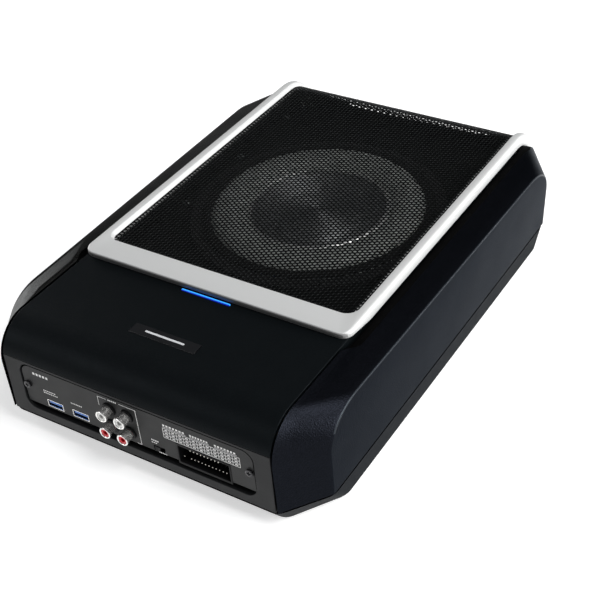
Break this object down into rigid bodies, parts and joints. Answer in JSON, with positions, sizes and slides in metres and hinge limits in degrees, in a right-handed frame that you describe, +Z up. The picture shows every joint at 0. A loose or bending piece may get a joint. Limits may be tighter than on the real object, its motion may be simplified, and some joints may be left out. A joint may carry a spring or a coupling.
{
  "type": "powered car subwoofer",
  "caption": "Shallow under-seat car subwoofer with a built-in amplifier, perforated grille in a silver trim, phono, USB and power sockets on its front face.",
  "frame": {"origin": "bottom centre of the bounding box, on the surface that it stands on", "axes": "+X to the right when facing the connector face, +Y from the connector face to the rear, +Z up"},
  "size_m": [0.2568, 0.378, 0.085],
  "materials": {
    "tray_paint": "satin",
    "foot_rubber": "matte",
    "plain_steel": "satin",
    "black_screw": "satin",
    "bezel_plastic": "satin",
    "plate_paint": "matte",
    "shell_plastic": "matte",
    "cap_plastic": "fine texture",
    "trim_silver": "satin silver paint",
    "grille_black": "satin",
    "light_blue": "lit",
    "badge_gloss": "gloss",
    "inner_plastic": "matte",
    "basket_paint": "matte",
    "gasket_foam": "matte",
    "surround_rubber": "satin",
    "cone_black": "gloss",
    "former_amber": "satin",
    "copper_wire": "satin",
    "spider_cloth": "woven",
    "motor_steel": "zinc plated",
    "magnet_ferrite": "matte",
    "board_green": "satin",
    "chip_black": "matte",
    "capacitor_sleeve": "satin",
    "core_green": "satin",
    "bare_aluminium": "satin",
    "wire_red": "satin",
    "usb_nickel": "polished",
    "usb_blue": "satin",
    "jack_nickel": "polished",
    "white_plastic": "satin",
    "red_plastic": "satin",
    "socket_black": "matte",
    "tinned_contact": "satin"
  },
  "bodies": {
    "housing": {"base_tray": "tray_paint", "rubber_feet": "foot_rubber", "tray_screws": "plain_steel", "front_bezel": "bezel_plastic", "connector_plate": "plate_paint", "plate_screws": "black_screw", "rear_panel": "inner_plastic", "top_shell": "shell_plastic", "side_cap_left": "cap_plastic", "side_cap_right": "cap_plastic", "trim_frame": "trim_silver", "grille": "grille_black", "light_bar": "light_blue", "light_board": "board_green", "name_badge": "badge_gloss", "inner_baffle": "inner_plastic", "baffle_screws": "plain_steel", "woofer_basket": "basket_paint", "woofer_gasket": "gasket_foam", "woofer_screws": "plain_steel", "surround": "surround_rubber", "spider": "spider_cloth", "top_plate": "motor_steel", "magnet": "magnet_ferrite", "yoke": "motor_steel", "woofer_terminals": "tinned_contact", "speaker_leads": "wire_red", "amp_board": "board_green", "board_pillars": "plain_steel", "board_screws": "plain_steel", "capacitors": "capacitor_sleeve", "choke_cores": "core_green", "choke_windings": "copper_wire", "board_chips": "chip_black", "heat_bar": "bare_aluminium", "output_transistors": "chip_black", "transistor_clamp": "plain_steel", "usb_shells": "usb_nickel", "usb_tongues": "usb_blue", "usb_risers": "socket_black", "jack_block": "socket_black", "jack_barrels": "jack_nickel", "jack_inserts_white": "white_plastic", "jack_inserts_red": "red_plastic", "jack_contacts": "jack_nickel", "power_socket": "socket_black", "power_contacts": "tinned_contact", "switch_body": "socket_black"},
    "moving_cone": {"cone": "cone_black", "dust_cap": "cone_black", "coil_former": "former_amber", "coil_winding": "copper_wire"},
    "mode_switch": {"switch_knob": "chip_black"}
  },
  "joints": [
    {"name": "cone_travel", "type": "slide", "parent": "housing", "child": "moving_cone", "axis": [0, 0, 1], "range_m": [-0.005, 0.005], "stiffness_N_per_m": 2500, "deforming": ["surround", "spider"]},
    {"name": "mode_switch_slide", "type": "slide", "parent": "housing", "child": "mode_switch", "axis": [1, 0, 0], "range_m": [0, 0.003]}
  ]
}
